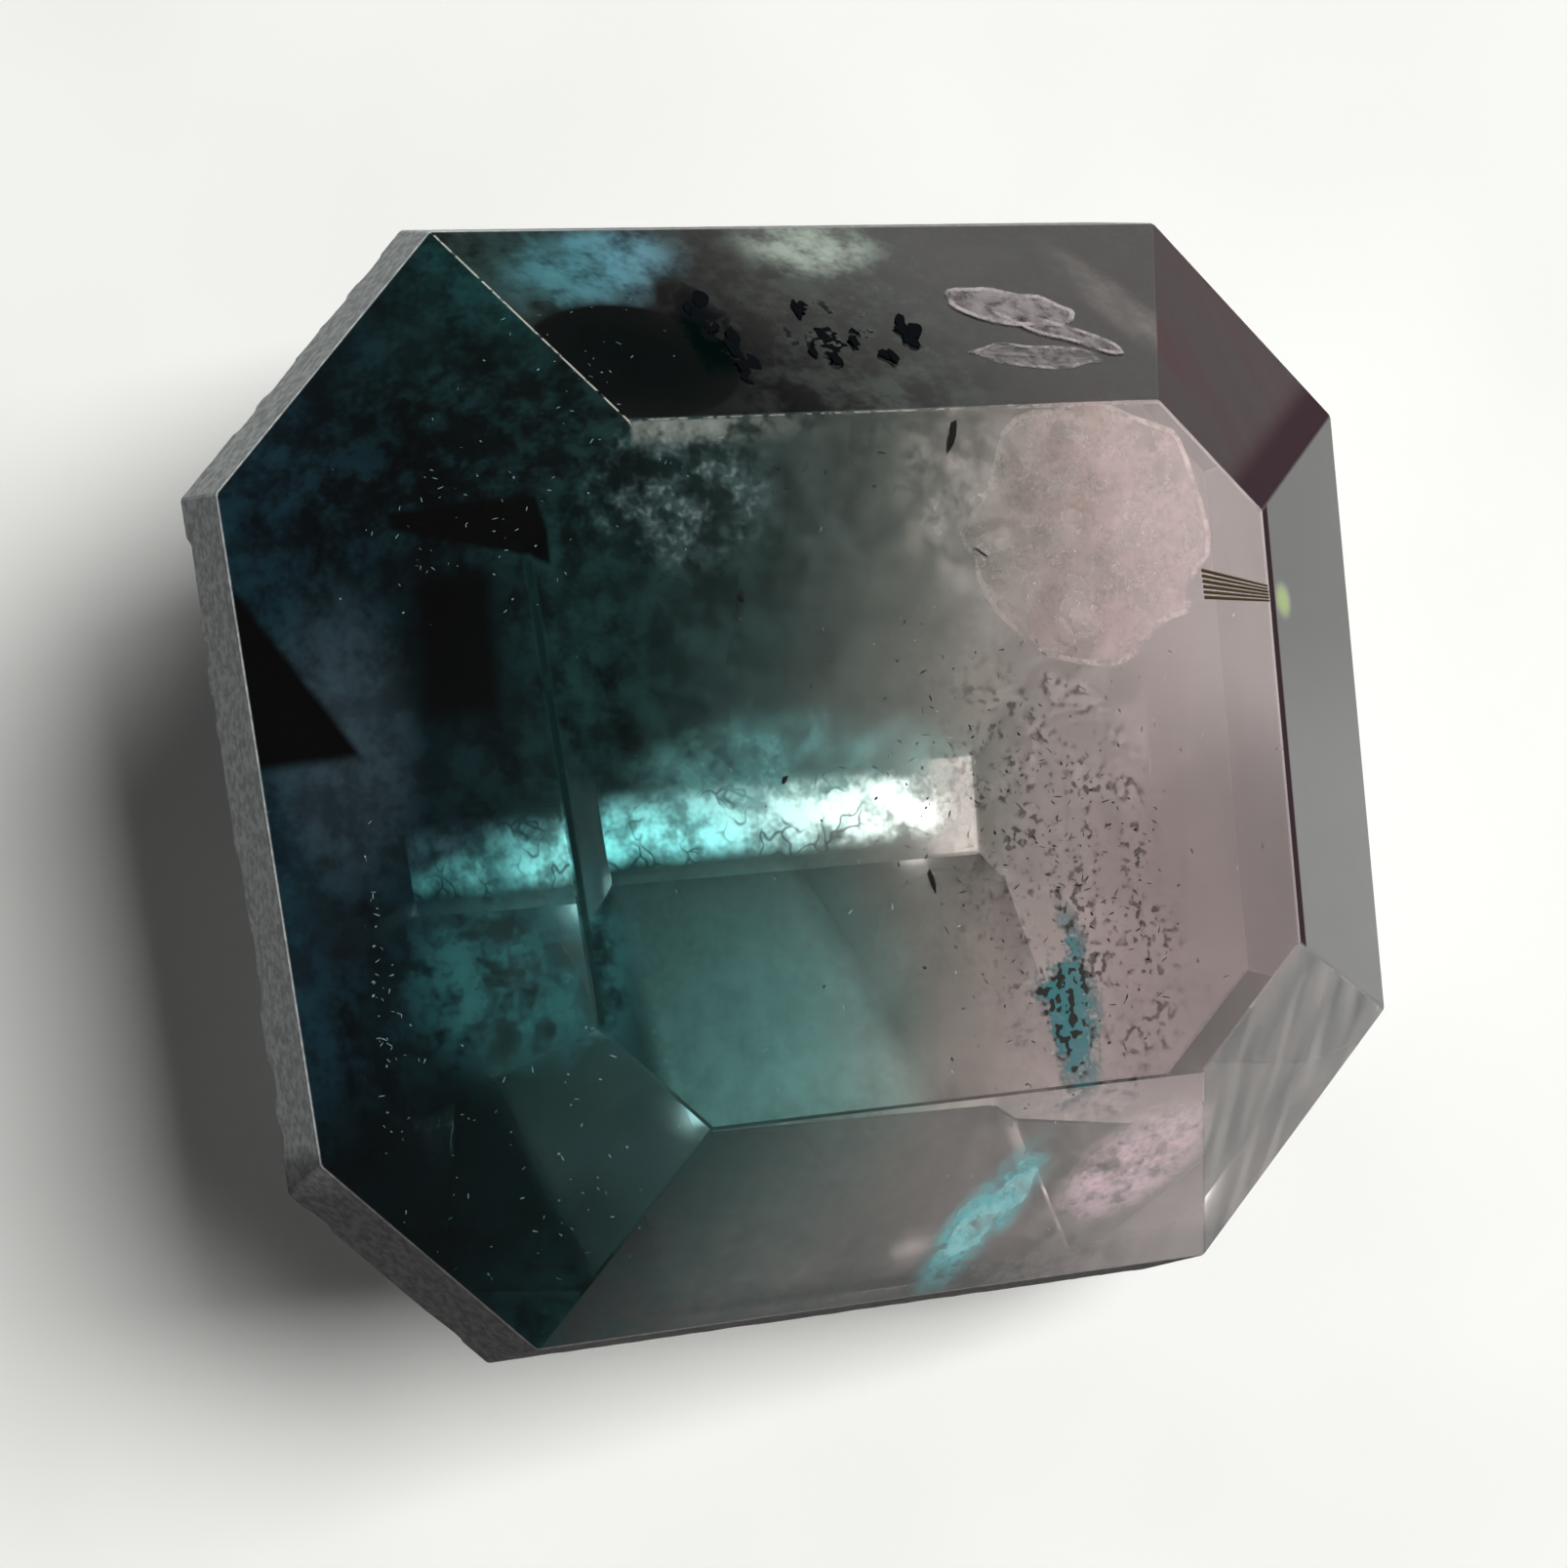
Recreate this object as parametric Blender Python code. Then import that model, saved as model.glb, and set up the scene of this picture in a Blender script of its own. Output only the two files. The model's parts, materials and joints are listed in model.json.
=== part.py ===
"""Bicolour tourmaline, cut as an eight-sided step gem: one solid stone, lying on a lower facet.

The stone is made the way a cutter makes it. A block of rough is ground flat one facet at a
time, and each facet is set by three numbers: the way it faces round the stone, its slope, and
how far it lies from the stone's upright axis. The cut is done by hand and by eye, so no two
sides match. While it is cut the stone stands table up: X runs along its length, from the teal
end (-X) to the pink end (+X), and z = 0 is the upper edge of the girdle. The finished stone is
then tipped over until it rests on its lower facet at the pink end.
"""

from math import atan2, cos, radians, sin, tan

import bmesh
import bpy
from mathutils import Matrix, Vector

MM = 0.001

# Sizes of the whole stone.
LENGTH = 9.0 * MM
CROWN_HEIGHT = 1.46 * MM
GIRDLE_THICKNESS = 0.73 * MM
PAVILION_DEPTH = 2.9 * MM
ROUGH_BLOCK = 2.0 * LENGTH

# The lower half has two rows of facets: a steep one under the girdle, and the long one below it.
BREAK_DEPTH = 1.3 * MM
BREAK_ANGLE = radians(54.0)

# The flat keel that the lower facets would otherwise meet in: its middle and its half sizes.
KEEL_CENTRE = Vector((0.20 * MM, -0.40 * MM))
KEEL_HALF_LENGTH = 1.55 * MM
KEEL_HALF_WIDTH = 0.38 * MM
# The corner facets of the lower half come to a point this far out from the keel's corners.
CORNER_STANDOFF = 0.12 * MM

# The eight sides, going round from the long upper one. Each gives the way it faces in degrees,
# its distance from the axis in half lengths, its crown facet's slope in degrees, and how far the
# girdle's lower edge stands out past its upper one, in mm.
SIDES = {
    "back": (90.0, 0.871, 41.3, 0.18),
    "back_right": (42.4, 1.103, 37.7, 0.00),
    "right_end": (-1.8, 1.000, 41.1, 0.00),
    "front_right": (-48.2, 1.050, 43.3, 0.00),
    "front": (-90.4, 0.901, 45.4, 0.11),
    "front_left": (-135.6, 1.093, 41.9, 0.16),
    "left_end": (-176.8, 1.000, 42.6, 0.04),
    "back_left": (135.9, 1.063, 40.8, 0.09),
}
RESTS_ON = "right_end"

TOURMALINE_GREY = (0.20, 0.26, 0.27, 1.0)
POLISH = 0.06


def outward(facing, slope):
    """The outward direction of a facet: slope 0 faces up, 90 degrees faces sideways."""
    return Vector((sin(slope) * cos(facing), sin(slope) * sin(facing), cos(slope)))


def grind(stone, point, normal):
    """Grinds away all that lies beyond one plane, and leaves a flat facet there."""
    everything = stone.verts[:] + stone.edges[:] + stone.faces[:]
    cut = bmesh.ops.bisect_plane(
        stone, geom=everything, dist=1e-9, plane_co=point, plane_no=normal, clear_outer=True
    )
    rim = [item for item in cut["geom_cut"] if isinstance(item, bmesh.types.BMEdge)]
    bmesh.ops.contextual_create(stone, geom=rim)


def keel_reach(facing):
    """How far the keel reaches from the axis towards a side."""
    sideways = Vector((cos(facing), sin(facing)))
    half_span = abs(sideways.x) * KEEL_HALF_LENGTH + abs(sideways.y) * KEEL_HALF_WIDTH
    diagonal = 2 * abs(sideways.x * sideways.y)
    return KEEL_CENTRE.dot(sideways) + half_span + diagonal * CORNER_STANDOFF


def lower_facet(facing, girdle_reach):
    """A point on a side's long lower facet and its outward direction: it runs from the foot of
    the steep row to the keel."""
    break_reach = girdle_reach - BREAK_DEPTH / tan(BREAK_ANGLE)
    rise = PAVILION_DEPTH - BREAK_DEPTH
    slope = atan2(rise, break_reach - keel_reach(facing))
    foot = Vector((break_reach * cos(facing), break_reach * sin(facing), -GIRDLE_THICKNESS - BREAK_DEPTH))
    normal = outward(facing, slope)
    return foot, Vector((normal.x, normal.y, -normal.z))


def cut_side(stone, facing, reach, crown_slope, flare):
    """Cuts one side from top to bottom: crown facet, girdle, steep lower facet, long lower facet."""
    upper_edge = Vector((reach * cos(facing), reach * sin(facing), 0.0))
    grind(stone, upper_edge, outward(facing, crown_slope))
    grind(stone, upper_edge, outward(facing, atan2(GIRDLE_THICKNESS, flare)))
    girdle_reach = reach + flare
    lower_edge = Vector((girdle_reach * cos(facing), girdle_reach * sin(facing), -GIRDLE_THICKNESS))
    steep = outward(facing, BREAK_ANGLE)
    grind(stone, lower_edge, Vector((steep.x, steep.y, -steep.z)))
    grind(stone, *lower_facet(facing, girdle_reach))


def cut_stone():
    """The finished stone, table up."""
    stone = bmesh.new()
    bmesh.ops.create_cube(stone, size=ROUGH_BLOCK)
    grind(stone, Vector((0, 0, CROWN_HEIGHT)), Vector((0, 0, 1)))
    grind(stone, Vector((0, 0, -GIRDLE_THICKNESS - PAVILION_DEPTH)), Vector((0, 0, -1)))
    for facing, distance, crown_slope, flare in SIDES.values():
        cut_side(stone, radians(facing), distance * LENGTH / 2, radians(crown_slope), flare * MM)
    return stone


def resting_turn():
    """The turn that brings the facet that the stone lies on to the bottom."""
    facing, distance, _, flare = SIDES[RESTS_ON]
    _, down = lower_facet(radians(facing), distance * LENGTH / 2 + flare * MM)
    return down.rotation_difference(Vector((0, 0, -1))).to_matrix().to_4x4()


def set_down(stone):
    """Tips the stone onto its resting facet, and centres it over the origin."""
    bmesh.ops.transform(stone, matrix=resting_turn(), verts=stone.verts)
    places = [vert.co for vert in stone.verts]
    low = Vector(min(place[axis] for place in places) for axis in range(3))
    high = Vector(max(place[axis] for place in places) for axis in range(3))
    middle = Vector(((low.x + high.x) / 2, (low.y + high.y) / 2, low.z))
    bmesh.ops.transform(stone, matrix=Matrix.Translation(-middle), verts=stone.verts)


def tourmaline_material():
    material = bpy.data.materials.new("tourmaline")
    material.use_nodes = True
    surface = material.node_tree.nodes["Principled BSDF"]
    surface.inputs["Base Color"].default_value = TOURMALINE_GREY
    surface.inputs["Roughness"].default_value = POLISH
    surface.inputs["Metallic"].default_value = 0.0
    material.diffuse_color = TOURMALINE_GREY
    return material


def make_tourmaline():
    stone = cut_stone()
    set_down(stone)
    bmesh.ops.recalc_face_normals(stone, faces=stone.faces)
    mesh = bpy.data.meshes.new("tourmaline")
    stone.to_mesh(mesh)
    stone.free()
    mesh.materials.append(tourmaline_material())
    bpy.context.scene.collection.objects.link(bpy.data.objects.new("tourmaline", mesh))


for old in list(bpy.data.objects):
    bpy.data.objects.remove(old)
make_tourmaline()
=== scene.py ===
import json
import random
from math import cos, pi, radians, sin

import bpy
from mathutils import Euler, Matrix, Vector


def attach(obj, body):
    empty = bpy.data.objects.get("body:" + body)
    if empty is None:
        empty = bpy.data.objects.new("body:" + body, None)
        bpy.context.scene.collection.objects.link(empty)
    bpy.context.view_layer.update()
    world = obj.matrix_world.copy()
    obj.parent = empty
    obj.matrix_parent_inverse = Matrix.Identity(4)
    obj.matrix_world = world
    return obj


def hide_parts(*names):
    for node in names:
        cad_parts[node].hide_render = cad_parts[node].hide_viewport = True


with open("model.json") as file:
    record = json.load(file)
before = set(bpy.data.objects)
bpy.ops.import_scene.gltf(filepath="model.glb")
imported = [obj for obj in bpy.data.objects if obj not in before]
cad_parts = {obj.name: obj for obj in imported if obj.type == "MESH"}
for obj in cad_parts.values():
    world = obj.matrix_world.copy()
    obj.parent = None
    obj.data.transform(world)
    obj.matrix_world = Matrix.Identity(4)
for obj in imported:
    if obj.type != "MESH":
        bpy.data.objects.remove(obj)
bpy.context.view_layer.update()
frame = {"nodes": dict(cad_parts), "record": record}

scene = bpy.context.scene

# ---------------------------------------------------------------------------------------------
# The cut stone. One piece of bicolour tourmaline, ground and polished flat facet by facet, with
# the girdle left rough from the grinding wheel. Wear has taken about a hundredth of a millimetre
# off its edges, and the lower edge of the girdle is chipped into small shells.
# ---------------------------------------------------------------------------------------------
MM = 0.001
STONE_LENGTH = 9.0
GIRDLE_THICKNESS = 0.73
CROWN_HEIGHT = 1.46
KEEL_HEIGHT = -3.63
EDGE_WEAR = 0.014 * MM
EDGE_ANGLE = radians(6)
MERGE_WITHIN = 0.001 * MM
FLAT_WITHIN = radians(0.5)

# The stone's own axes: X along the crystal from teal to pink, Z out of the table, in mm from
# the middle of the girdle's upper edge. The table's mount gives how far the stone is tipped.
STONE_PLACE = Vector((0.338, 0.007, 3.889)) * MM
table_mount = next(m for m in frame["record"]["mounts"] if m["name"] == "table_facet")
stone_tip = Vector((0, 0, 1)).rotation_difference(Vector(table_mount["axis"]))
STONE = Matrix.LocRotScale(STONE_PLACE, stone_tip, Vector((MM, MM, MM)))


def select_only(piece):
    bpy.ops.object.select_all(action="DESELECT")
    piece.select_set(True)
    bpy.context.view_layer.objects.active = piece


def apply_modifier(piece, kind, **settings):
    modifier = piece.modifiers.new(kind.title(), kind)
    for name, value in settings.items():
        setattr(modifier, name, value)
    select_only(piece)
    bpy.ops.object.modifier_apply(modifier=modifier.name)


def settle(piece, place=Matrix()):
    """Bakes the piece's place into its mesh, and makes it ride with the stone's body."""
    piece.matrix_world = place
    select_only(piece)
    bpy.ops.object.transform_apply(location=True, rotation=True, scale=True)
    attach(piece, "root")


stone = bpy.data.objects.new("cut_stone", frame["nodes"]["tourmaline"].data.copy())
scene.collection.objects.link(stone)
select_only(stone)
bpy.ops.object.mode_set(mode="EDIT")
bpy.ops.mesh.select_all(action="SELECT")
bpy.ops.mesh.remove_doubles(threshold=MERGE_WITHIN)
bpy.ops.mesh.dissolve_limited(angle_limit=FLAT_WITHIN)
bpy.ops.object.mode_set(mode="OBJECT")
bpy.ops.mesh.customdata_custom_splitnormals_clear()

# The corners of the girdle's lower edge, in order round the stone.
to_stone = STONE.inverted()
lower_edge = [to_stone @ vert.co for vert in stone.data.vertices]
lower_edge = [corner for corner in lower_edge if abs(corner.z + GIRDLE_THICKNESS) < 0.02]
lower_edge.sort(key=lambda corner: -Vector((1, 0)).angle_signed(corner.xy, 0))

apply_modifier(stone, "BEVEL", width=EDGE_WEAR, segments=1, limit_method="ANGLE",
               angle_limit=EDGE_ANGLE)

# Shell-shaped chips along that edge: each is bitten out by a small ball. Sizes are in mm.
CHIP_STEP = (0.20, 0.45)
CHIP_RADIUS = (0.22, 0.60)
CHIP_DEPTH = (0.025, 0.085)
CHIP_LEAN = (-0.9, -0.3)
SEED = 7
chance = random.Random(SEED)
bpy.ops.object.select_all(action="DESELECT")
chips = []
for start, end in zip(lower_edge, lower_edge[1:] + lower_edge[:1]):
    side = end - start
    outwards = Vector((side.y, -side.x, 0)).normalized()
    if outwards.dot(start) < 0:
        outwards = -outwards
    walked = chance.uniform(*CHIP_STEP)
    while walked < side.length:
        radius = chance.uniform(*CHIP_RADIUS)
        depth = chance.uniform(*CHIP_DEPTH)
        lean = Vector((outwards.x, outwards.y, chance.uniform(*CHIP_LEAN))).normalized()
        centre = STONE @ (start + side.normalized() * walked + lean * (radius - depth))
        bpy.ops.mesh.primitive_ico_sphere_add(subdivisions=2, radius=radius * MM, location=centre)
        chips.append(bpy.context.object)
        walked += chance.uniform(*CHIP_STEP)
for chip in chips:
    chip.select_set(True)
bpy.context.view_layer.objects.active = chips[0]
bpy.ops.object.join()
biter = bpy.context.object
apply_modifier(stone, "BOOLEAN", operation="DIFFERENCE", object=biter, solver="EXACT", use_self=True)
bpy.data.objects.remove(biter)
select_only(stone)
bpy.ops.object.shade_flat()


class Shade:
    """A socket in a finish's node tree. Arithmetic on shades adds Math nodes."""

    def __init__(self, tree, socket=None):
        self.tree = tree
        self.socket = socket

    def node(self, kind, settings=None, inputs=None, output=0):
        """Adds a node of any kind, and gives the shade of one of its outputs."""
        made = self.tree.nodes.new("ShaderNode" + kind)
        for name, value in (settings or {}).items():
            if name == "stops":
                stops = made.color_ramp.elements
                while len(stops) < len(value):
                    stops.new(0.5)
                for stop, (place, colour) in zip(stops, value):
                    stop.position = place
                    stop.color = (*colour, 1.0) if isinstance(colour, tuple) else (colour,) * 3 + (1.0,)
            else:
                setattr(made, name, value)
        for place, value in (inputs or {}).items():
            if isinstance(value, Shade):
                self.tree.links.new(value.socket, made.inputs[place])
            else:
                made.inputs[place].default_value = value
        return Shade(self.tree, made.outputs[output])

    def maths(self, operation, first, second):
        return self.node("Math", {"operation": operation}, {0: first, 1: second})

    def __add__(self, other):
        return self.maths("ADD", self, other)

    def __sub__(self, other):
        return self.maths("SUBTRACT", self, other)

    def __rsub__(self, other):
        return self.maths("SUBTRACT", other, self)

    def __mul__(self, other):
        return self.maths("MULTIPLY", self, other)

    def __pow__(self, other):
        return self.maths("POWER", self, other)

    __radd__ = __add__
    __rmul__ = __mul__

    def rise(self, low, high):
        """0 below low, 1 above high, and smooth between them; low above high turns it round."""
        return self.node("MapRange", {"interpolation_type": "SMOOTHSTEP"},
                         {"Value": self, "From Min": low, "From Max": high})

    def blend(self, first, second):
        """The first colour where this shade is 0, the second where it is 1."""
        return self.node("Mix", {"data_type": "RGBA"}, {0: self, 6: first, 7: second}, output=2)

    def surface(self, first, second):
        """The first surface where this shade is 0, the second where it is 1."""
        return self.node("MixShader", inputs={0: self, 1: first, 2: second})

    def ramp(self, stops):
        """The colours or shares of the stops, as this shade goes from 0 to 1."""
        return self.node("ValToRGB", {"stops": stops}, {0: self})


def new_finish(name):
    """A material with an empty Principled surface, and a root shade for its nodes."""
    material = bpy.data.materials.new(name)
    material.use_nodes = True
    return material, Shade(material.node_tree), material.node_tree.nodes["Principled BSDF"]


def stone_axes(root):
    """Places in the stone's own axes, in mm, as a vector and as x, y and z."""
    place = root.node("Mapping", {"vector_type": "TEXTURE"}, {
        "Vector": root.node("TexCoord", output="Object"),
        "Location": STONE_PLACE,
        "Rotation": stone_tip.to_euler(),
        "Scale": (MM, MM, MM),
    })
    return place, *(root.node("SeparateXYZ", inputs={0: place}, output=axis) for axis in "XYZ")


def noise(root, place, size, detail, rough=0.55):
    """Smooth noise from 0 to 1 whose blots are about size mm across."""
    return root.node("TexNoise", inputs={
        "Vector": place, "Scale": 1.0 / size, "Detail": detail, "Roughness": rough})


# From the teal end to the pink one: what light is tinted by where it crosses the upper facets,
# what share of the lower facets is clouded over with dense colour, and the colour of that cloud.
# The teal end is so dense along the crystal that hardly any light gets back out of it.
ZONE_SLANT = -0.35
UPPER_STOPS = [
    (0.00, (0.0001, 0.0003, 0.0004)),
    (0.14, (0.0004, 0.0010, 0.0014)),
    (0.20, (0.0050, 0.0190, 0.0200)),
    (0.26, (0.0420, 0.0850, 0.0820)),
    (0.34, (0.100, 0.170, 0.160)),
    (0.43, (0.180, 0.240, 0.215)),
    (0.53, (0.400, 0.400, 0.350)),
    (0.64, (0.780, 0.620, 0.590)),
    (0.71, (0.860, 0.680, 0.680)),
    (1.00, (0.800, 0.560, 0.590)),
]
CLOUD_STOPS = [
    (0.00, (0.004, 0.008, 0.010)),
    (0.35, (0.008, 0.018, 0.018)),
    (0.50, (0.080, 0.100, 0.090)),
    (0.65, (0.350, 0.310, 0.290)),
    (1.00, (0.600, 0.500, 0.500)),
]
CLOUD_SHARE_STOPS = [(0.00, 1.00), (0.36, 0.98), (0.48, 0.80), (0.58, 0.52), (0.70, 0.08), (0.76, 0.00)]
# The milky haze close under the upper facets, and how much of it there is.
HAZE_STOPS = [
    (0.00, (0.010, 0.032, 0.044)),
    (0.10, (0.007, 0.020, 0.025)),
    (0.24, (0.015, 0.050, 0.048)),
    (0.36, (0.036, 0.074, 0.068)),
    (0.50, (0.125, 0.138, 0.122)),
    (0.68, (0.700, 0.600, 0.580)),
    (1.00, (0.700, 0.640, 0.630)),
]
HAZE_SHARE_STOPS = [(0.00, 0.60), (0.17, 0.50), (0.24, 0.34), (0.45, 0.22), (0.66, 0.20), (0.75, 0.32),
                    (1.00, 0.32)]
# How brightly the keel is painted to glow: painted light.
KEEL_GLOW_STOPS = [
    (0.26, (0.750, 1.750, 1.750)),
    (0.44, (1.200, 1.950, 1.950)),
    (0.55, (2.900, 3.400, 3.300)),
    (0.66, (2.500, 2.550, 2.500)),
]
# The colours of patches in the haze, of edges and of the ground girdle.
NOTHING = (0.0, 0.0, 0.0, 1.0)
WHITE = (1.0, 1.0, 1.0, 1.0)
PAINTED_SHADE_INSIDE = (0.0006, 0.0004, 0.0004, 1.0)
TEAL_POOL = (0.170, 1.000, 0.970, 1.0)
MAUVE_POOL = (0.300, 0.200, 0.210, 1.0)
BLUE_GLOW = (0.160, 0.380, 0.470, 1.0)
PALE_GLOW = (0.300, 0.350, 0.300, 1.0)
GREEN_GLOW = (0.020, 0.100, 0.100, 1.0)
STREAK_GLOW = (0.150, 0.420, 0.400, 1.0)
VEIL_GLOW = (0.420, 0.380, 0.350, 1.0)
FROST_GLOW = (0.120, 0.170, 0.170, 1.0)
LILAC_GLOW = (0.780, 0.560, 0.640, 1.0)
TEAL_MIST = (0.030, 0.130, 0.130, 1.0)
LEFT_MIST = (0.034, 0.055, 0.066, 1.0)
GREEN_GRAIN = (0.300, 0.370, 0.180, 1.0)
FLAKE_DARK = (0.004, 0.005, 0.006, 1.0)
TEAL_BLOTCH = (0.030, 0.110, 0.120, 1.0)
SPECKLE_DARK = (0.020, 0.020, 0.018, 1.0)
RIGHT_GREY = (0.245, 0.245, 0.245, 1.0)
EDGE_DARK = (0.030, 0.018, 0.022, 1.0)
EDGE_GREEN = (0.003, 0.007, 0.007, 1.0)
HIGHLIGHT_AND_FROST = (0.550, 0.550, 0.480, 1.0)
BACK_DARK = (0.0006, 0.0034, 0.0030, 1.0)
BACK_GREY = (0.102, 0.126, 0.112, 1.0)
BACK_MAUVE = (0.075, 0.038, 0.044, 1.0)
CYAN_GLOW = (0.150, 0.600, 0.640, 1.0)
GIRDLE_DARK = (0.250, 0.260, 0.255, 1.0)
GIRDLE_LIGHT = (0.400, 0.410, 0.400, 1.0)
GIRDLE_LEFT_DARK = (0.420, 0.450, 0.445, 1.0)
GIRDLE_LEFT_LIGHT = (0.660, 0.700, 0.690, 1.0)
ABSORPTION_COLOUR = (0.62, 0.80, 0.78, 1.0)
ABSORPTION_DENSITY = 10.0
TOURMALINE_IOR = 1.63
UPPER_ROUGHNESS = 0.03
LOWER_ROUGHNESS = 0.10
STREAK_STRETCH = (3.6, 0.7, 1.0)
GRAIN_NOISE = (0.30, 3.0, 0.72)
FINE_NOISE = (0.07, 1.0, 0.7)

# The ridges between the crown's facets, each from a corner of the table out to the girdle, and
# three edges of the table.
BACK_LEFT = ((-2.12, 2.26), (-2.86, 3.92))
BACK_RIGHT = ((2.10, 2.26), (3.14, 3.92))
RIGHT_BACK = ((2.87, 1.41), (4.58, 2.35))
RIGHT_FRONT = ((2.77, -1.78), (4.43, -2.38))
FRONT_RIGHT = ((1.83, -2.63), (2.53, -4.07))
TABLE_BACK = ((2.10, 2.26), (-2.12, 2.26))
TABLE_RIGHT = ((2.77, -1.78), (2.87, 1.41))
TABLE_LEFT = ((-2.81, -1.83), (-2.99, 1.35))

stone_finish, root, spare = new_finish("polished_tourmaline")
stone_finish.node_tree.nodes.remove(spare)
place, x, y, z = stone_axes(root)
wander = noise(root, place, 1.6, 1.0) - 0.5
grain = noise(root, place, *GRAIN_NOISE)
fine = noise(root, place, *FINE_NOISE)
stretched = root.node("VectorMath", {"operation": "MULTIPLY"}, {0: place, 1: STREAK_STRETCH})
streaks = noise(root, stretched, 0.9, 1.0, 0.6)


def zone(along):
    """From 0 at the teal end of the stone to 1 at the pink one; along is in mm."""
    return along * (1 / STONE_LENGTH) + 0.5


def left_of(line, soft=0.02, shift=0.0):
    """1 left of a line that is shifted left by some mm, seen from above the table; 0 right of it."""
    start, end = (Vector(point) for point in line)
    along = (end - start).normalized()
    limit = start.y * along.x - start.x * along.y + shift
    return (y * along.x - x * along.y).rise(limit - soft, limit + soft)


def band(line, soft, low, high):
    """1 in the narrow band between two shifts left of a line, in mm."""
    return left_of(line, soft, low) * (1.0 - left_of(line, soft, high))


def blob(u, v, centre, half_width, half_height, lean=0.0):
    """1 in the middle of a soft oval patch, 0 beyond its sizes in mm."""
    right, up = u - centre[0], v - centre[1]
    across = (right * cos(lean) + up * sin(lean)) * (1 / half_width)
    along = (up * cos(lean) - right * sin(lean)) * (1 / half_height)
    return (across * across + along * along).rise(1.0, 0.0)


def polished(tint, roughness):
    """Clear tourmaline: light crosses it, and takes on the tint at its surface."""
    return root.node("BsdfPrincipled", inputs={
        "Base Color": tint, "Roughness": roughness, "IOR": TOURMALINE_IOR, "Transmission Weight": 1.0})


def matte(colour, glow=NOTHING):
    """What isn't clear: haze, cloud and ground surfaces."""
    return root.node("BsdfPrincipled", inputs={
        "Base Color": colour, "Roughness": 0.75, "Specular IOR Level": 0.0, "Emission Color": glow,
        "Emission Strength": 1.0})


# The upper facets. Those behind the table and right of it, and a strip along the front edge, are painted
# almost black inside, which is painted shade: they show hardly any light from within.
off_table = z.rise(CROWN_HEIGHT - 0.01, CROWN_HEIGHT - 0.02)
on_table = off_table.rise(1.0, 0.0)
behind = off_table * left_of(RIGHT_FRONT) * (1.0 - left_of(BACK_LEFT))
back_right = off_table * left_of(RIGHT_BACK) * (1.0 - left_of(BACK_RIGHT))
right = behind * (1.0 - left_of(RIGHT_BACK))
front_right = off_table * (1.0 - left_of(RIGHT_FRONT)) * left_of(FRONT_RIGHT)
upper = zone(x + y * ZONE_SLANT + wander * 0.9 + (grain - 0.5) * 1.1).ramp(UPPER_STOPS)
teal = blob(x + wander, y, (-2.3, -2.2), 2.1, 2.0) * (0.9 - off_table * 0.4)
mauve = blob(x, y + wander, (2.2, -1.5), 1.9, 1.9)
upper = teal.blend(upper, TEAL_POOL)
upper = (mauve * 0.75).blend(upper, MAUVE_POOL)
upper = (behind + y.rise(-3.70, -3.90)).blend(upper, PAINTED_SHADE_INSIDE)

# The haze is grainy in the middle, and smooth at the pink end.
grainy = 0.38 + grain.rise(0.36, 0.68) * 0.80 + wander * 0.5 + (streaks - 0.5) * 0.9
patchy = grainy + x.rise(0.8, 2.1) * (0.75 + streaks * 0.3 - grainy)
straight = zone(x + wander * 0.5)
haze = straight.ramp(HAZE_STOPS)
haze_share = straight.ramp(HAZE_SHARE_STOPS) * patchy
# Glows seen through the facets behind the table: painted light.
blue_glow = blob(x, y + streaks * 0.5, (-1.75, 3.85), 0.95, 0.42, 0.25)
pale_glow = blob(x, y + wander * 0.4, (0.05, 3.70), 0.75, 0.40)
green_glow = blob(x, y, (-2.25, 3.60), 1.00, 0.75)
glowing = (blue_glow + pale_glow + green_glow * 0.6) * grain.rise(0.18, 0.66) * 0.6
veiled = grain.rise(0.38, 0.66) * x.rise(-1.8, 0.2) * (0.34 - x.rise(0.3, 1.6) * 0.15)
haze_share = behind.blend(haze_share, glowing + veiled)
haze_share = back_right.blend(haze_share, 0.26 + streaks.rise(0.3, 0.7) * 0.16)
haze_share = haze_share * (1.0 - mauve * 0.55)
haze_share = right.blend(haze_share, 0.02 + grain * 0.18 + y.rise(0.9, -0.6) * 0.32)
haze_share = front_right.blend(haze_share, streaks.rise(0.25, 0.75) * 0.18)

# Patches in the haze: veils, frost, flakes too small to model, glows and blotches. The glows (blue, pale,
# green, lilac, cyan and the halo round the keel's streak) and the teal blotch are painted light, seen
# through the facets.
right_veil = blob(x, y, (2.42, 2.95), 0.30, 1.1, 0.5) * behind * streaks
table_veil = blob(x, y, (0.35, 1.55), 0.60, 1.0) * on_table * grain.rise(0.35, 0.65)
frost = blob(x, y, (-1.75, 1.75), 0.85, 0.65) * (0.4 + fine.rise(0.40, 0.75))
frost = frost * grain.rise(0.35, 0.65) * on_table
left_flakes = blob(x + grain * 0.4, y, (-0.95, 3.00), 0.24, 0.48) * grain.rise(0.38, 0.44) * behind
middle_flakes = blob(x, y, (-0.05, 2.92), 0.62, 0.36) * fine.rise(0.42, 0.52)
middle_flakes = middle_flakes * grain.rise(0.53, 0.58) * behind
back_dark = blob(x, y, (-1.85, 2.75), 0.90, 0.55) * behind
streak_glow = blob(x, y + wander * 0.4, (-1.0, -0.25), 1.7, 0.50) * (0.4 + grain)
teal_mist = blob(x, y, (-3.15, -1.40), 0.8, 0.9) * grain.rise(0.3, 0.6)
left_mist = blob(x, y, (-4.05, 0.30), 0.5, 1.3)
lilac_glow = blob(x, y, (1.55, -3.25), 0.75, 0.42, 0.4) * grain.rise(0.30, 0.62)
cyan_glow = blob(x, y, (0.40, -3.50), 0.74, 0.34, 1.02) * grain.rise(0.20, 0.55)
green_grain = blob(x, y, (3.13, 0.77), 0.20, 0.17)
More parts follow.
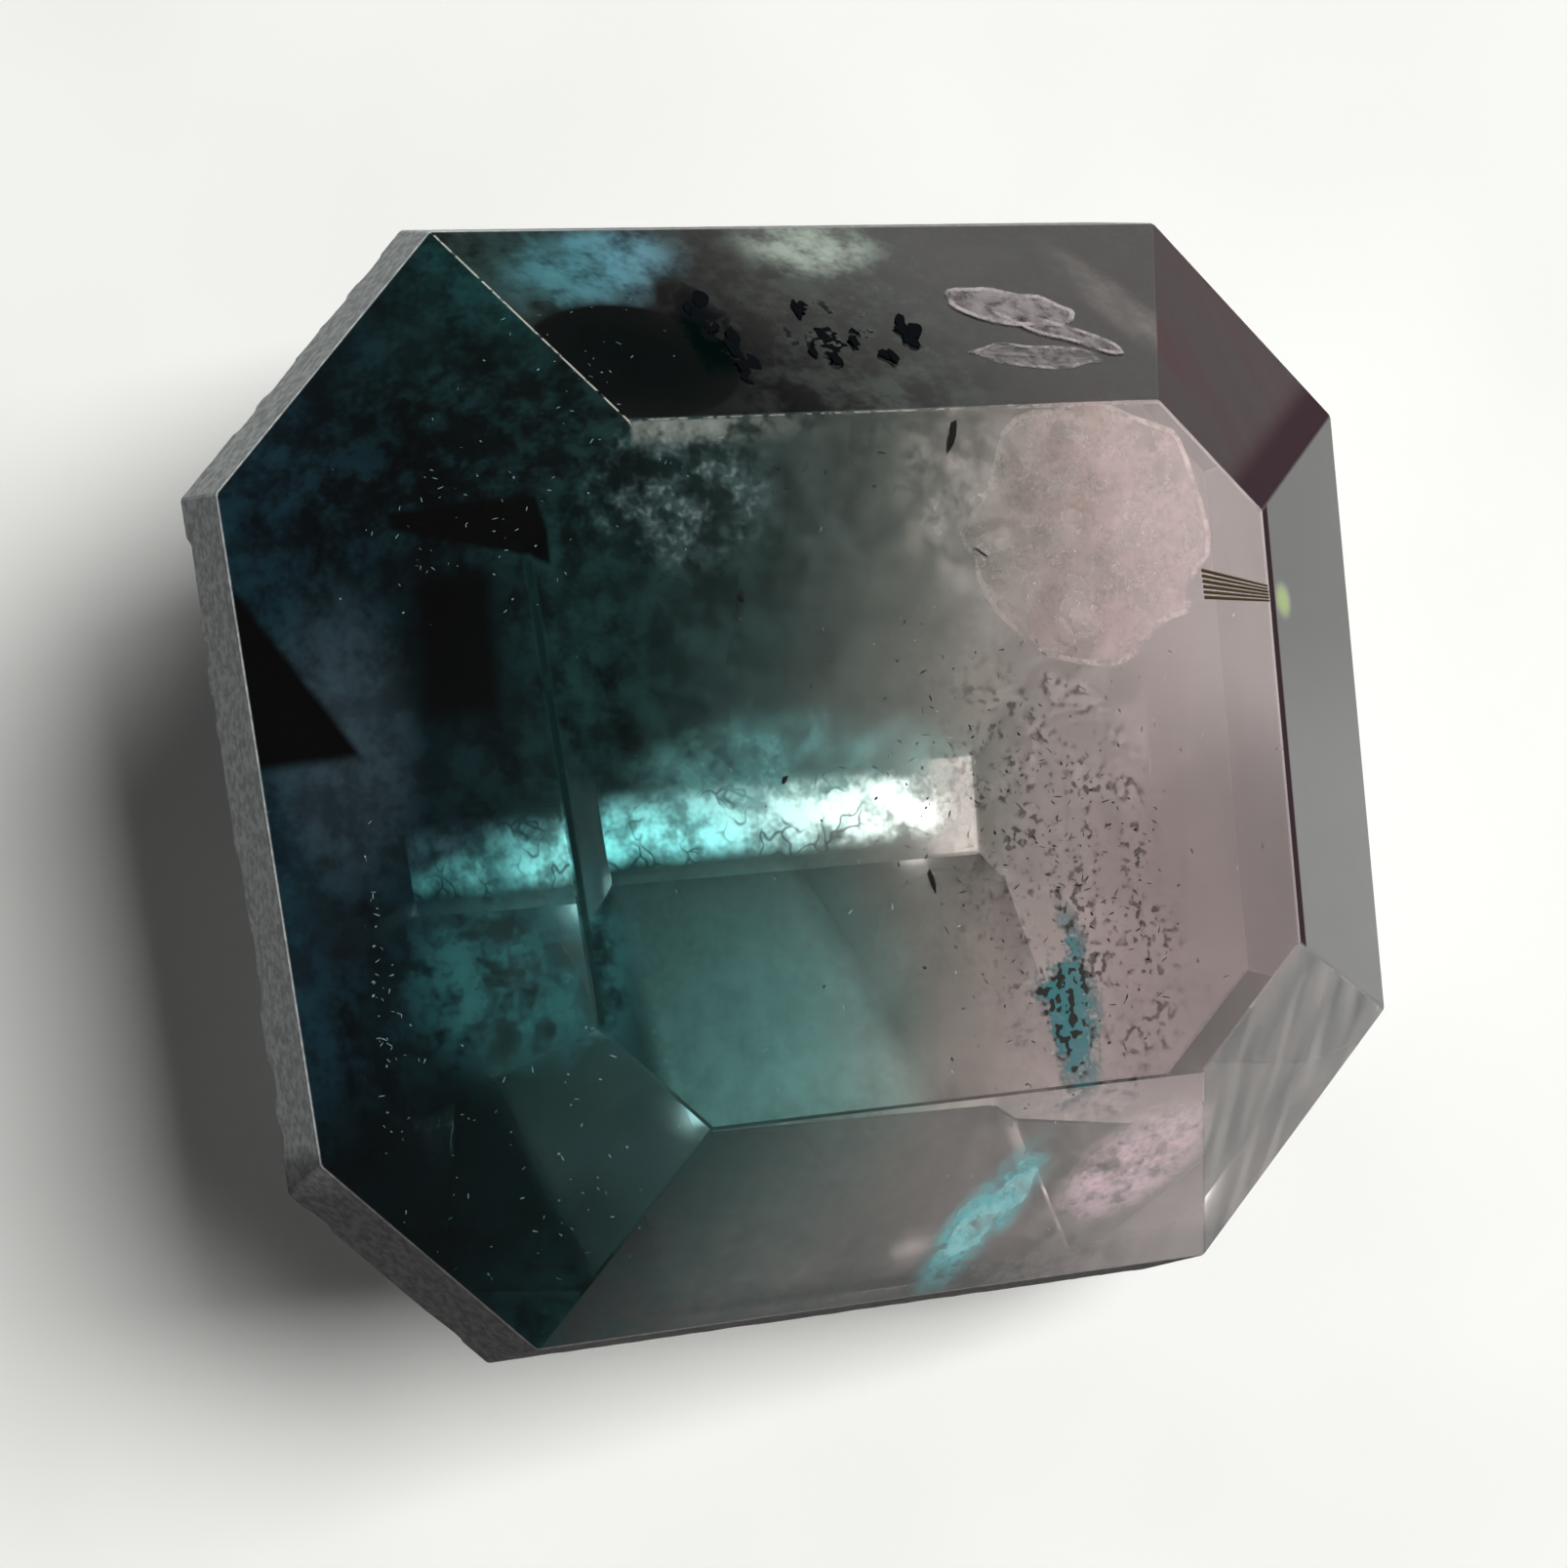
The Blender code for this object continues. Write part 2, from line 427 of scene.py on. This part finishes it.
teal_blotch = blob(x + grain * 0.7, y, (1.18, -2.02), 0.22, 0.85) * grain.rise(0.36, 0.46)
speckles = blob(x, y, (0.85, -1.15), 1.05, 2.0, 0.2) * fine.rise(0.52, 0.63) * grain.rise(0.42, 0.58)

# Each patch, how far the haze there takes on its colour, the haze it adds, and the colour. Later
# patches lie over earlier ones. A weight above 1 gives a patch a crisp edge.
for patch, weight, share, colour in (
        (behind, 1.0, 0.0, BACK_GREY),
        (behind * x.rise(0.2, 1.7), 0.85, 0.0, BACK_MAUVE),
        (right_veil, 1.0, 0.35, VEIL_GLOW),
        (table_veil, 0.6, 0.16, VEIL_GLOW),
        (frost, 1.0, 0.23, FROST_GLOW),
        (back_right, 1.0, 0.0, BACK_MAUVE),
        (blue_glow * behind, 1.0, 0.0, BLUE_GLOW),
        (pale_glow * behind, 1.0, 0.0, PALE_GLOW),
        (green_glow, 0.7, 0.0, GREEN_GLOW),
        (left_flakes, 6.0, 0.95, FLAKE_DARK),
        (middle_flakes, 6.0, 0.95, FLAKE_DARK),
        (back_dark, 6.0, 0.62, BACK_DARK),
        (right, 1.0, 0.0, RIGHT_GREY),
        (streak_glow, 0.7, 0.13, STREAK_GLOW),
        (teal_mist, 0.8, 0.25, TEAL_MIST),
        (left_mist, 0.8, 0.20, LEFT_MIST),
        (lilac_glow, 0.9, 0.45, LILAC_GLOW),
        (cyan_glow, 1.2, 0.28, CYAN_GLOW),
        (green_grain, 1.0, 0.8, GREEN_GRAIN),
        (teal_blotch, 6.0, 0.75, TEAL_BLOTCH),
        (speckles, 6.0, 0.45, SPECKLE_DARK)):
    haze = (patch * weight).blend(haze, colour)
    if share:
        haze_share = haze_share + patch * share

# Painted shade: corners of the left facets are kept black, and patches round them darker, by taking the haze
# away there.
shade_triangle = (-0.894 * x - 0.447 * y).rise(3.42, 3.48) * y.rise(0.10, 0.22)
shade_block = x.rise(-3.75, -3.50) * x.rise(-3.05, -3.25) * y.rise(0.15, 0.45) * y.rise(1.45, 1.20)
shade_wedge = (0.42 * x + y).rise(0.09, 0.15) * x.rise(-3.75, -3.65) * x.rise(-2.78, -2.82)
shade_wedge = shade_wedge * y.rise(1.83, 1.77)
shaded = blob(x, y, (-3.7, -2.9), 1.6, 1.2) * 0.8
shaded = shaded + blob(x, y, (-3.1, 2.1), 1.6, 1.1) * grain.rise(0.65, 0.40) * 0.75
haze_share = haze_share * ((1.0 - shade_triangle) * (1.0 - shade_block) * (1.0 - shade_wedge) * (1.0 - shaded))

# Edges of the facets: dark along the table's two ends, with a dark stripe of painted shade on the back right
# facet's outer corner; painted highlights along the table's back edge and the ridge at its back left corner,
# with a little frost on the table's side of that edge.
right_edge = off_table * (1.0 - left_of(TABLE_RIGHT, 0.012)) * left_of(TABLE_RIGHT, 0.02, -0.13) * right
# Painted shade: a dark stripe over the back right facet's outer corner.
right_corner_shade = back_right * (1.0 - left_of(RIGHT_BACK, 0.12, 0.34))
left_edge = band(TABLE_LEFT, 0.015, -0.06, 0.0) * y.rise(-1.90, -1.80) * y.rise(1.40, 1.30)
left_edge = left_edge * grain.rise(0.25, 0.45) * 0.85
ridge_highlight = band(BACK_LEFT, 0.005, -0.007, 0.007) * y.rise(2.20, 2.28)
table_back_highlight = band(TABLE_BACK, 0.005, -0.007, 0.007) * x.rise(-2.2, -2.0) * x.rise(0.6, 0.3)
frosted = left_of(TABLE_BACK, 0.01, 0.01) * (1.0 - left_of(TABLE_BACK, 0.08, 0.16))
frosted = frosted * x.rise(-2.13, -2.08) * x.rise(-0.3, -1.5) * grain.rise(0.30, 0.55)
dark_marks = 1.0 - (1.0 - right_edge) * (1.0 - right_corner_shade * 0.92)
highlights_and_frost = ridge_highlight * fine.rise(0.3, 0.5) * 0.8 + table_back_highlight * fine.rise(0.4, 0.6) * 0.4 + frosted * 0.30
haze = dark_marks.blend(haze, EDGE_DARK)
haze = left_edge.blend(haze, EDGE_GREEN)
haze = highlights_and_frost.blend(haze, HIGHLIGHT_AND_FROST)
marks = 1.0 - (1.0 - dark_marks) * (1.0 - left_edge) * (1.0 - highlights_and_frost)
haze_share = marks.blend(haze_share, WHITE)
upper_roughness = UPPER_ROUGHNESS + right * 0.32 + back_right * 0.55
upper_side = haze_share.surface(polished(upper, upper_roughness), matte(haze))

# From within, only the tint of the upper facets counts.
from_within = root.node("NewGeometry", output="Backfacing")
plain_tint = zone(x + y * ZONE_SLANT).ramp(UPPER_STOPS)
upper_side = from_within.surface(upper_side, polished(plain_tint, UPPER_ROUGHNESS))

# The girdle, which is ground and not polished. It has its own noise, like the keel below, so that
# no other facet has to work that out.
girdle = z.rise(0.01, -0.01)
ground = noise(root, place, *FINE_NOISE).rise(0.3, 0.7)
# Painted light: the girdle's left end is painted lighter than the rest.
girdle_painted_light = x.rise(-1.5, -2.5) * y.rise(-2.6, -2.4)
girdle_tone = ground.blend(GIRDLE_DARK, GIRDLE_LIGHT)
girdle_tone = girdle_painted_light.blend(girdle_tone, ground.blend(GIRDLE_LEFT_DARK, GIRDLE_LEFT_LIGHT))
# Painted shade: the girdle is painted darker towards the front.
girdle_tone = (y.rise(-2.4, -2.9) * 0.62).blend(girdle_tone, EDGE_DARK)
crown = girdle.surface(upper_side, matte(girdle_tone))

# The lower facets, clouded at the teal end and clear at the pink one.
cloud = straight.ramp(CLOUD_STOPS)
clear_patch = (-1.0 * x - 0.32 * y).rise(0.0, 0.3) * y.rise(-0.6, -0.9) * x.rise(-1.50, -1.25)
cloud_share = straight.ramp(CLOUD_SHARE_STOPS) * (1.0 - clear_patch * 0.72)
lower_side = cloud_share.surface(polished(WHITE, LOWER_ROUGHNESS), matte(cloud))

# The keel: frosted and cracked. It glows, mostly inwards, as painted light for the window's light that the
# stone gathers onto it.
KEEL_MIDDLE = -0.385
KEEL_OUTWARDS = 0.45
CRACKS_PER_MM = 4.0
CRACK_BEND = (0.4, 0.4, 0.4)
bend = root.node("TexNoise", inputs={"Vector": place, "Scale": CRACKS_PER_MM, "Detail": 1.0}, output="Color")
bent = root.node("VectorMath", {"operation": "MULTIPLY_ADD"}, {0: bend, 1: CRACK_BEND, 2: place})
cracks = root.node("TexVoronoi", {"feature": "DISTANCE_TO_EDGE"}, {"Vector": bent, "Scale": CRACKS_PER_MM},
                   output="Distance")
cracks = 1.0 - cracks.rise(0.075, 0.0) * noise(root, place, 0.4, 1.0).rise(0.45, 0.60) * 0.8
keel_y = y - KEEL_MIDDLE + wander * 0.10
keel_grain = noise(root, place, *GRAIN_NOISE)
keel_frost_and_glow = (keel_y * keel_y).rise(0.120, 0.0) ** 1.5 * cracks * (0.30 + keel_grain.rise(0.35, 0.65))
keel_frost_and_glow = keel_frost_and_glow * x.rise(1.78, 1.15) * (KEEL_OUTWARDS + from_within * (1.0 - KEEL_OUTWARDS))
keel_painted_glow = keel_frost_and_glow.blend(NOTHING, straight.ramp(KEEL_GLOW_STOPS))
frosted_keel = matte((keel_frost_and_glow * 0.8).blend(cloud, WHITE), keel_painted_glow)
keel = (cloud_share + keel_frost_and_glow).surface(polished(WHITE, LOWER_ROUGHNESS), frosted_keel)

on_keel = z.rise(KEEL_HEIGHT + 0.02, KEEL_HEIGHT + 0.01)
below_girdle = z.rise(-GIRDLE_THICKNESS + 0.01, -GIRDLE_THICKNESS - 0.01)
whole = below_girdle.surface(crown, on_keel.surface(lower_side, keel))
inside = root.node("VolumeAbsorption", inputs={"Color": ABSORPTION_COLOUR, "Density": ABSORPTION_DENSITY})
output = root.tree.nodes["Material Output"]
root.tree.links.new(whole.socket, output.inputs["Surface"])
root.tree.links.new(inside.socket, output.inputs["Volume"])
stone.data.materials.clear()
stone.data.materials.append(stone_finish)
settle(stone)
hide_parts("tourmaline")

# ---------------------------------------------------------------------------------------------
# The healed fracture: a crack that closed while the crystal still grew. It left a round flat
# film of tiny bubbles under the table, with a bright uneven rim.
# ---------------------------------------------------------------------------------------------
FILM_THICKNESS = 0.008
HIGH_ABOVE = 9.0
table_axis = STONE.to_3x3().col[2].normalized()


def under(x, y, depth, turn):
    """A place in the stone, depth mm under the facet above (x, y), with Z along its normal."""
    _, spot, normal, _ = stone.ray_cast(STONE @ Vector((x, y, HIGH_ABOVE)), -table_axis)
    side = (stone_tip @ Vector((1, 0, 0))).cross(normal).normalized()
    axes = Matrix((side.cross(-normal), side * -1.0, normal)).transposed()
    axes = axes @ Matrix.Rotation(turn, 3, "Z")
    return Matrix.LocRotScale(spot - depth * MM * table_axis, axes.to_quaternion(), (MM, MM, MM))


def film(name, spot, half_sizes, rim, ragged, seed, finishes, corners=36, smooth=2):
    """A thin ragged oval sheet, whose rim, if any, has a finish of its own. Sizes are in mm."""
    bpy.ops.object.select_all(action="DESELECT")
    bpy.ops.mesh.primitive_circle_add(vertices=corners, radius=1.0, fill_type="NGON")
    piece = bpy.context.object
    piece.name = name
    bpy.ops.object.mode_set(mode="EDIT")
    bpy.ops.mesh.select_all(action="SELECT")
    bpy.ops.transform.resize(value=(*half_sizes, 1.0))
    bpy.ops.transform.vertex_random(offset=ragged, uniform=1.0, seed=seed)
    bpy.ops.mesh.vertices_smooth(factor=0.5, repeat=smooth)
    bpy.ops.transform.resize(value=(1.0, 1.0, 0.0))
    if rim:
        bpy.ops.mesh.inset(thickness=rim, depth=0.0)
    bpy.ops.object.mode_set(mode="OBJECT")
    for finish in finishes:
        piece.data.materials.append(finish)
    # The middle is one face with many corners, and the rim's faces have four.
    for face in piece.data.polygons:
        face.material_index = 0 if len(face.vertices) > 4 else 1
    apply_modifier(piece, "SOLIDIFY", thickness=FILM_THICKNESS, offset=0.0)
    settle(piece, spot)


def plain(name, colour):
    """A finish for specks, flakes and needles: one matte colour."""
    finish, _, surface = new_finish(name)
    surface.inputs["Base Color"].default_value = colour
    surface.inputs["Roughness"].default_value = 0.6
    surface.inputs["Specular IOR Level"].default_value = 0.0
    return finish


def milky(name, colour, thin, thick, size, shift):
    """A plain finish for films, with thin and thick patches of cover that are size mm across."""
    finish = plain(name, colour)
    root = Shade(finish.node_tree)
    shifted = root.node("VectorMath", {"operation": "ADD"}, {0: stone_axes(root)[0], 1: (shift, 0.0, 0.0)})
    cover = noise(root, shifted, size, 4.0, 0.7).rise(0.35, 0.65) * (thick - thin) + thin
    root.tree.links.new(cover.socket, root.tree.nodes["Principled BSDF"].inputs["Alpha"])
    return finish


film_finish = milky("bubble_film", (0.92, 0.80, 0.79, 1.0), 0.10, 0.56, 0.28, 3.0)
rim_finish = milky("bubble_rim", (1.00, 0.94, 0.91, 1.0), 0.0, 0.90, 0.30, 5.0)
FRACTURE_FILMS = [
    # name, its place, depth and turn, half its length and width, rim, raggedness, seed, corners
    ("healed_fracture", (1.49, 1.34, 0.35, 0.0), (1.02, 0.95), 0.04, 0.22, 4, 44),
    ("healed_fracture_inner", (1.35, 1.75, 0.42, 0.3), (0.55, 0.35), 0.02, 0.16, 9, 36),
]
for name, spot, half_sizes, rim, ragged, seed, corners in FRACTURE_FILMS:
    film(name, under(*spot), half_sizes, rim, ragged, seed, (film_finish, rim_finish), corners)

# ---------------------------------------------------------------------------------------------
# The three fingerprints at the back facet: more healed cracks, long ovals drawn out side by side.
# They lie as flat films just over the facet, because the facet itself shows little from within.
# ---------------------------------------------------------------------------------------------
NEAR = -0.006
print_finish = milky("fingerprint_film", (0.40, 0.35, 0.36, 1.0), 0.04, 0.40, 0.14, 8.0)
ring_finish = milky("fingerprint_rim", (0.50, 0.45, 0.45, 1.0), 0.0, 0.55, 0.20, 9.0)
FINGERPRINTS = [
    # name, its place, depth and turn, half its length and width, rim, raggedness, seed
    ("upper_fingerprint", (1.37, 3.12, NEAR, -0.25), (0.52, 0.22), 0.04, 0.07, 12),
    ("lower_fingerprint", (1.33, 2.70, NEAR, -0.10), (0.55, 0.13), 0.03, 0.05, 13),
    ("long_fingerprint", (1.62, 2.92, NEAR * 2, -0.55), (0.55, 0.10), 0.03, 0.05, 14),
]
for name, spot, half_sizes, rim, ragged, seed in FINGERPRINTS:
    film(name, under(*spot), half_sizes, rim, ragged, seed, (print_finish, ring_finish))

# ---------------------------------------------------------------------------------------------
# The dark flakes: torn black scales of another mineral in the teal half, in loose clusters at
# the back facet.
# ---------------------------------------------------------------------------------------------
flake_finish = plain("black_flake", (0.004, 0.005, 0.006, 1.0))
FLAKE_LENGTH = (0.05, 0.14)
FLAKE_WIDTH = (0.02, 0.06)
FLAKE_RAGGED = 0.05
FLAKE_CLUSTERS = [
    # centre, spread in mm, number of flakes, and their size against the usual one
    (-1.15, 3.05, 0.26, 7, 1.2),
    (-1.02, 2.74, 0.14, 4, 1.0),
    (-0.35, 2.95, 0.26, 8, 0.9),
    (0.05, 2.85, 0.20, 5, 0.8),
    (0.40, 3.00, 0.12, 5, 1.0),
]
for x, y, spread, count, size in FLAKE_CLUSTERS:
    for _ in range(count):
        spot = under(x + chance.uniform(-spread, spread) * 0.6, y + chance.uniform(-spread, spread),
                     NEAR * chance.uniform(1.0, 2.0), chance.uniform(1.0, 2.0))
        half_sizes = (size * chance.uniform(*FLAKE_LENGTH), size * chance.uniform(*FLAKE_WIDTH))
        film("black_flake", spot, half_sizes, 0.0, FLAKE_RAGGED, chance.randrange(999), (flake_finish,),
             corners=12, smooth=0)

# ---------------------------------------------------------------------------------------------
# The growth tube: a bundle of fine brown needles that crystallised side by side, from the edge
# of the table out towards the right facet.
# ---------------------------------------------------------------------------------------------
needle_finish = plain("brown_needle", (0.045, 0.032, 0.014, 1.0))
TUBE_START = Vector((2.30, 0.90, 1.455))
TUBE_END = Vector((2.85, 0.80, 1.455))
NEEDLES = 6
START_GAP = 0.040
END_GAP = 0.022
UNEVEN = 0.01
for needle in range(NEEDLES):
    aside = needle - (NEEDLES - 1) / 2
    start = TUBE_START + Vector((0, aside * START_GAP, chance.uniform(0.0, UNEVEN)))
    end = TUBE_END + Vector((0, aside * END_GAP, chance.uniform(0.0, UNEVEN)))
    bpy.ops.object.select_all(action="DESELECT")
    bpy.ops.mesh.primitive_cone_add(vertices=8, radius1=0.013, radius2=0.008, depth=(end - start).length)
    piece = bpy.context.object
    piece.name = "needle"
    piece.data.materials.append(needle_finish)
    settle(piece, STONE @ Matrix.LocRotScale((start + end) / 2, (end - start).to_track_quat("Z", "Y"), None))

# ---------------------------------------------------------------------------------------------
# Coloured splinters: two cracks near the front facets, whose broken faces catch the light.
# ---------------------------------------------------------------------------------------------
cyan_finish = milky("cyan_splinter", (0.40, 0.74, 0.74, 1.0), 0.0, 0.30, 0.16, 11.0)
lilac_finish = milky("lilac_splinter", (0.80, 0.68, 0.72, 1.0), 0.0, 0.32, 0.16, 17.0)
SPLINTERS = [
    # name, its place, depth and turn, half its length and width, rim, raggedness, seed, finish
    ("cyan_splinter", (0.42, -3.47, NEAR, 1.05), (0.48, 0.16), 0.02, 0.07, 31, cyan_finish),
    ("lilac_splinter", (1.55, -3.22, NEAR, 0.30), (0.52, 0.27), 0.03, 0.08, 32, lilac_finish),
]
for name, spot, half_sizes, rim, ragged, seed, finish in SPLINTERS:
    film(name, under(*spot), half_sizes, rim, ragged, seed, (finish, finish), corners=30, smooth=1)

# ---------------------------------------------------------------------------------------------
# Dust: specks and grains of other minerals that the crystal closed over, dark and bright.
# ---------------------------------------------------------------------------------------------
dark_finish = plain("dark_dust", (0.012, 0.011, 0.010, 1.0))
bright_finish = plain("bright_dust", (0.95, 0.97, 0.97, 1.0))
faint_finish = plain("faint_dust", (0.16, 0.24, 0.25, 1.0))
DUST_REGIONS = [
    # centre, spread and number of specks, their radius in mm, and finish
    ((0.9, -1.1), (1.2, 1.6), 260, (0.005, 0.017), dark_finish),
    ((0.6, -0.1), (1.5, 0.9), 80, (0.005, 0.016), dark_finish),
    ((-2.2, 2.6), (0.9, 0.9), 45, (0.003, 0.010), faint_finish),
    ((-3.3, 1.6), (1.0, 0.6), 60, (0.003, 0.010), faint_finish),
    ((-4.05, -1.6), (0.22, 1.0), 45, (0.004, 0.013), faint_finish),
    ((-3.2, -2.6), (0.8, 0.8), 50, (0.004, 0.012), faint_finish),
    ((-2.9, -3.3), (0.6, 0.5), 14, (0.005, 0.014), bright_finish),
    ((-1.6, 1.9), (1.4, 0.7), 60, (0.006, 0.022), dark_finish),
    ((0.0, -0.6), (2.8, 2.6), 60, (0.005, 0.013), bright_finish),
    ((0.2, 2.9), (1.0, 0.5), 60, (0.008, 0.024), dark_finish),
]
DUST_LIMITS = (4.0, 3.6)
DUST_DEPTH = (0.05, 0.6)
GRAINS = [
    # place and radius
    ((0.35, 2.05), 0.075),
    ((0.48, 1.22), 0.03),
    ((-1.42, 1.01), 0.04),
    ((-1.24, -0.28), 0.03),
    ((-0.19, -1.08), 0.05),
]
SPECK_SHAPES = [(1.2, 0.5, 0.3), (1.9, 0.4, 0.3), (2.8, 0.25, 0.25)]
specks = []
for shape in SPECK_SHAPES:
    bpy.ops.object.select_all(action="DESELECT")
    bpy.ops.mesh.primitive_ico_sphere_add(subdivisions=1, radius=1.0)
    bpy.ops.object.mode_set(mode="EDIT")
    bpy.ops.mesh.select_all(action="SELECT")
    bpy.ops.transform.resize(value=shape)
    bpy.ops.transform.vertex_random(offset=0.25, uniform=1.0, seed=len(specks))
    bpy.ops.object.mode_set(mode="OBJECT")
    specks.append(bpy.context.object)


def speck(spot, radius, finish):
    """A copy of one of the three specks, with its own mesh, at a spot in the stone."""
    piece = chance.choice(specks).copy()
    piece.data = piece.data.copy()
    piece.data.materials.append(finish)
    scene.collection.objects.link(piece)
    piece.matrix_world = spot @ Matrix.Scale(radius, 4)
    return piece


for centre, spread, count, radii, finish in DUST_REGIONS:
    dust = []
    while len(dust) < count:
        x = chance.gauss(centre[0], spread[0] * 0.5)
        y = chance.gauss(centre[1], spread[1] * 0.5)
        if abs(x) < DUST_LIMITS[0] and abs(y) < DUST_LIMITS[1]:
            depth = NEAR if finish == faint_finish else chance.uniform(*DUST_DEPTH)
            spot = under(x, y, depth, chance.uniform(0, pi))
            dust.append(speck(spot, chance.uniform(*radii), finish))
    bpy.ops.object.select_all(action="DESELECT")
    for mote in dust:
        mote.select_set(True)
    bpy.context.view_layer.objects.active = dust[0]
    bpy.ops.object.join()
    dust[0].name = "dust"
    settle(dust[0], dust[0].matrix_world.copy())
for (x, y), radius in GRAINS:
    mote = speck(under(x, y, NEAR, chance.uniform(0, pi)), radius, dark_finish)
    mote.name = "grain"
    settle(mote, mote.matrix_world.copy())
for piece in specks:
    bpy.data.objects.remove(piece)

# ---------------------------------------------------------------------------------------------
# The cloth that the stone lies on: plain, white and a little soft, with the shade of soft folds painted on
# it. Beyond its middle it is painted dark, a painted shade, so that the facets mirror a dim room.
# ---------------------------------------------------------------------------------------------
CLOTH_SIZE = 0.6
CLOTH_DROP = 0.05 * MM
CLOTH_WHITE = (0.86, 0.86, 0.83, 1.0)
CLOTH_SHADE = (0.66, 0.67, 0.65, 1.0)
CLOTH_PAINTED_SHADE = (0.08, 0.08, 0.08, 1.0)
LIT_MIDDLE = Vector((0.0, -1.5, 0.0)) * MM
LIT_EDGE = (14.0 * MM, 22.0 * MM)
FOLDS_PER_METRE = 260.0
bpy.ops.object.select_all(action="DESELECT")
bpy.ops.mesh.primitive_plane_add(size=CLOTH_SIZE, location=(0, 0, -CLOTH_DROP))
cloth = bpy.context.object
cloth.name = "cloth"
cloth_finish, root, surface = new_finish("white_cloth")
cloth_place = root.node("TexCoord", output="Object")
away = root.node("VectorMath", {"operation": "DISTANCE"}, {0: cloth_place, 1: LIT_MIDDLE}, output="Value")
# Painted shade of soft folds on the flat cloth.
fold_shade = root.node("TexNoise", inputs={"Vector": cloth_place, "Scale": FOLDS_PER_METRE, "Detail": 2.0})
tone = (fold_shade.rise(0.65, 0.30) * 0.16).blend(CLOTH_WHITE, CLOTH_SHADE)
# Painted shade: far from the middle the cloth is painted dark.
tone = away.rise(*LIT_EDGE).blend(tone, CLOTH_PAINTED_SHADE)
cloth_finish.node_tree.links.new(tone.socket, surface.inputs["Base Color"])
surface.inputs["Roughness"].default_value = 0.95
surface.inputs["Specular IOR Level"].default_value = 0.1
cloth.data.materials.append(cloth_finish)

# ---------------------------------------------------------------------------------------------
# Light and camera: a soft window high on the right, a dim room, and a close camera that looks
# down on the raised teal end.
# ---------------------------------------------------------------------------------------------
LIGHT_TURN = radians(7)
LIGHT_HEIGHT = radians(48)
LIGHT_DISTANCE = 0.30
LIGHT_WIDTH = 0.095
LIGHT_LENGTH = 0.125
LIGHT_POWER = 1.28
ROOM_GREY = (0.06, 0.06, 0.06, 1.0)
CAMERA_PLACE = Vector((-12.15, -1.72, 24.52))
CAMERA_TURN = Euler((radians(6.065), radians(-24.801), radians(-6.844)))
CAMERA_LENS = 85.1
SENSOR_WIDTH = 36.0
BOUNCES = 8

bpy.ops.object.light_add(type="AREA")
window = bpy.context.object
window.data.shape = "RECTANGLE"
window.data.size = LIGHT_WIDTH
window.data.size_y = LIGHT_LENGTH
window.data.energy = LIGHT_POWER
window.location = LIGHT_DISTANCE * Vector((cos(LIGHT_HEIGHT) * cos(LIGHT_TURN),
                                           cos(LIGHT_HEIGHT) * sin(LIGHT_TURN), sin(LIGHT_HEIGHT)))
window.rotation_euler = (-window.location).to_track_quat("-Z", "Y").to_euler()

room = bpy.data.worlds.new("room")
room.use_nodes = True
room.node_tree.nodes["Background"].inputs["Color"].default_value = ROOM_GREY
scene.world = room

bpy.ops.object.camera_add()
camera = bpy.context.object
camera.data.sensor_width = SENSOR_WIDTH
camera.data.lens = CAMERA_LENS
camera.data.clip_start = 1.0 * MM
camera.location = STONE @ CAMERA_PLACE
camera.rotation_euler = (stone_tip @ CAMERA_TURN.to_quaternion()).to_euler()
scene.camera = camera
scene.view_settings.view_transform = "Standard"
scene.cycles.use_light_tree = False
scene.cycles.max_bounces = BOUNCES
scene.cycles.transmission_bounces = BOUNCES
scene.cycles.glossy_bounces = BOUNCES
scene.cycles.transparent_max_bounces = BOUNCES
